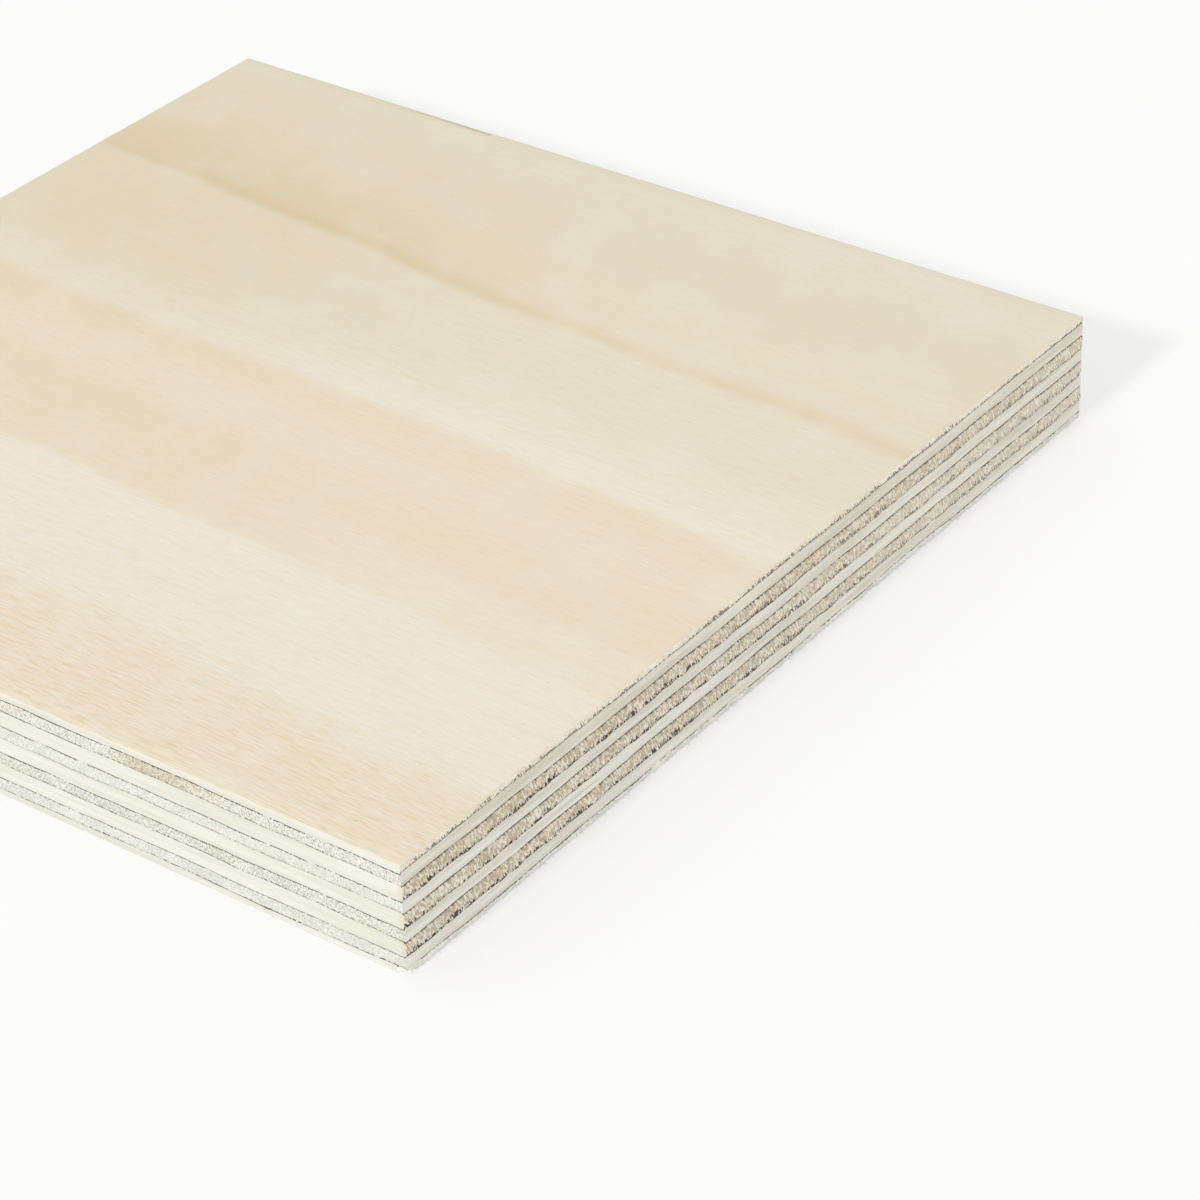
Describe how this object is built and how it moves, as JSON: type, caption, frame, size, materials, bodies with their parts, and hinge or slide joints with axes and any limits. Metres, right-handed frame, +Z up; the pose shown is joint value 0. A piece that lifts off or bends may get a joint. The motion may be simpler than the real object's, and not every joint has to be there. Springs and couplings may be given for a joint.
{
  "type": "plywood sheet",
  "caption": "Square piece of plywood sheet: thin face and back veneers glued over cross-laminated core plies, with sawn edges that show the plies.",
  "frame": {"origin": "centre of the back face, at floor level", "axes": "+X along the grain of the face veneer, +Y across it, +Z up out of the face veneer"},
  "size_m": [0.17, 0.17, 0.018],
  "materials": {
    "face_veneer": "fine-sanded bare veneer",
    "crossband": "sawn edge, bare wood",
    "core_ply": "sawn edge, bare wood",
    "back_veneer": "fine-sanded bare veneer"
  },
  "bodies": {
    "root": {"back_veneer": "back_veneer", "crossband_1": "crossband", "crossband_2": "crossband", "crossband_3": "crossband", "crossband_4": "crossband", "core_ply_1": "core_ply", "core_ply_2": "core_ply", "core_ply_3": "core_ply", "face_veneer": "face_veneer"}
  },
  "joints": []
}
